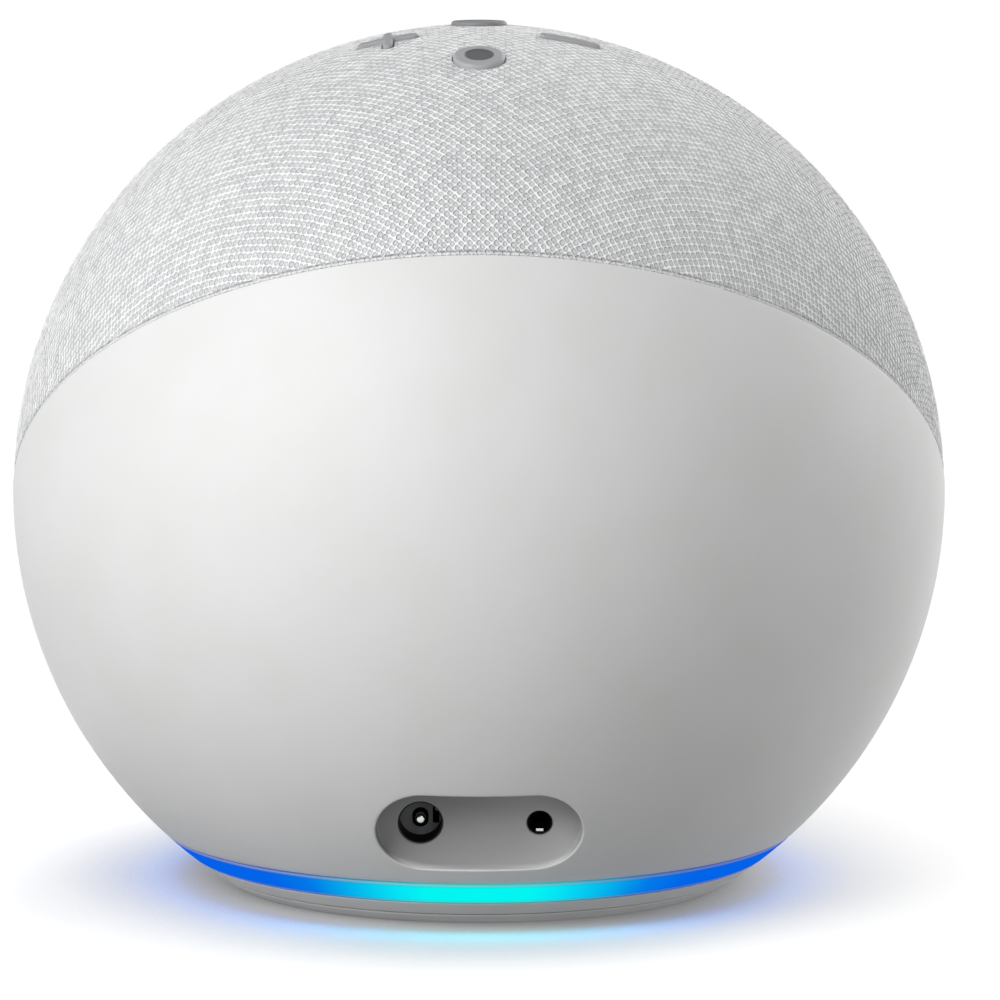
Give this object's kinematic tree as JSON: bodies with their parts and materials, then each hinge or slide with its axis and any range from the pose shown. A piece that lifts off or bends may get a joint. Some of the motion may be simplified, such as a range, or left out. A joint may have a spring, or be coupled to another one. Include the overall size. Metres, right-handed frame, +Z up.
{
  "type": "smart speaker",
  "caption": "Ball-shaped mains-powered smart speaker: knit-covered grille over a moulded shell, top press buttons, light ring near the foot and a rear socket pocket.",
  "frame": {"origin": "centre of the foot's underside, on the table", "axes": "+Z up; +Y towards the front, away from the sockets; +X to the left of someone facing the front"},
  "size_m": [0.144, 0.144, 0.1329],
  "materials": {
    "knit_fabric": "open diamond knit of near-white threads, matt",
    "grille_plastic": "moulded, grey, matt",
    "shell_plastic": "fine satin moulding, light warm grey",
    "light_diffuser": "translucent, lit from behind in cyan and blue",
    "white_plastic": "white, matt",
    "circuit_board": "green solder resist, satin",
    "base_plastic": "moulded, light grey, matt",
    "foot_rubber": "light grey, matt",
    "brass": "turned",
    "steel": "zinc plated",
    "cast_aluminium": "die cast, bead blasted",
    "thermal_gel": "soft pad",
    "nickel": "bright nickel plate",
    "copper": "bare copper",
    "socket_plastic": "black and dark grey, satin",
    "flex_film": "amber polyimide film",
    "black_plastic": "moulded, black, matt",
    "soft_rubber": "black, matt",
    "magnet": "nickel-plated sintered magnet",
    "paper_cone": "pressed fibre, dark, matt",
    "spider_cloth": "corrugated treated cloth",
    "silk_dome": "doped woven dome",
    "button_rubber": "mid grey, satin"
  },
  "bodies": {
    "speaker": {"speaker_baffle": "black_plastic", "enclosure_gasket": "soft_rubber", "speaker_tub": "black_plastic", "baffle_screw_1": "steel", "baffle_screw_2": "steel", "baffle_screw_3": "steel", "woofer_frame": "steel", "woofer_screw_1": "steel", "woofer_screw_2": "steel", "woofer_screw_3": "steel", "woofer_screw_4": "steel", "woofer_yoke": "steel", "woofer_magnet": "magnet", "woofer_pole_plate": "steel", "woofer_surround": "soft_rubber", "woofer_spider": "spider_cloth", "tweeter_frame_left": "black_plastic", "tweeter_magnet_left": "magnet", "tweeter_frame_right": "black_plastic", "tweeter_magnet_right": "magnet", "dc_jack_body": "socket_plastic", "dc_jack_pin": "nickel", "dc_jack_contact": "nickel", "audio_jack_body": "socket_plastic", "audio_jack_contact": "nickel", "socket_board": "circuit_board", "fabric_cover": "knit_fabric", "grille_dome": "grille_plastic", "rear_shell": "shell_plastic", "light_ring": "light_diffuser", "led_board": "circuit_board", "light_reflector": "white_plastic", "base_plate": "base_plastic", "rubber_foot": "foot_rubber", "tripod_insert": "brass", "base_screw_1": "steel", "base_screw_2": "steel", "base_screw_3": "steel", "heat_sink": "cast_aluminium", "thermal_pad": "thermal_gel", "main_board": "circuit_board", "shield_can": "nickel", "antenna": "copper", "socket_cable": "flex_film", "button_board": "circuit_board", "action_switch": "black_plastic", "microphone_off_switch": "black_plastic", "volume_up_switch": "black_plastic", "volume_down_switch": "black_plastic", "button_carrier": "grille_plastic", "button_cable": "flex_film"},
    "action_button": {"action_button": "button_rubber"},
    "microphone_off_button": {"microphone_off_button": "button_rubber"},
    "volume_up_button": {"volume_up_button": "button_rubber"},
    "volume_down_button": {"volume_down_button": "button_rubber"},
    "woofer_diaphragm": {"woofer_cone": "paper_cone", "woofer_voice_coil": "copper", "woofer_dust_cap": "paper_cone"},
    "tweeter_diaphragm_left": {"tweeter_dome_left": "silk_dome"},
    "tweeter_diaphragm_right": {"tweeter_dome_right": "silk_dome"}
  },
  "joints": [
    {"name": "action_press", "type": "slide", "parent": "speaker", "child": "action_button", "axis": [0, 0, -1], "range_m": [0, 0.0006], "stiffness_N_per_m": 2500, "springref_m": -0.0001},
    {"name": "microphone_off_press", "type": "slide", "parent": "speaker", "child": "microphone_off_button", "axis": [0, 0, -1], "range_m": [0, 0.0006], "stiffness_N_per_m": 2500, "springref_m": -0.0001},
    {"name": "volume_up_press", "type": "slide", "parent": "speaker", "child": "volume_up_button", "axis": [0, 0, -1], "range_m": [0, 0.0006], "stiffness_N_per_m": 2500, "springref_m": -0.0001},
    {"name": "volume_down_press", "type": "slide", "parent": "speaker", "child": "volume_down_button", "axis": [0, 0, -1], "range_m": [0, 0.0006], "stiffness_N_per_m": 2500, "springref_m": -0.0001},
    {"name": "woofer_excursion", "type": "slide", "parent": "speaker", "child": "woofer_diaphragm", "axis": [0, 0.6481, 0.7615], "range_m": [-0.003, 0.003], "stiffness_N_per_m": 1500, "deforming": ["woofer_surround", "woofer_spider"]},
    {"name": "tweeter_excursion_left", "type": "slide", "parent": "speaker", "child": "tweeter_diaphragm_left", "axis": [0, 0.6481, 0.7615], "range_m": [-0.0003, 0.0003], "stiffness_N_per_m": 4000},
    {"name": "tweeter_excursion_right", "type": "slide", "parent": "speaker", "child": "tweeter_diaphragm_right", "axis": [0, 0.6481, 0.7615], "range_m": [-0.0003, 0.0003], "stiffness_N_per_m": 4000}
  ]
}
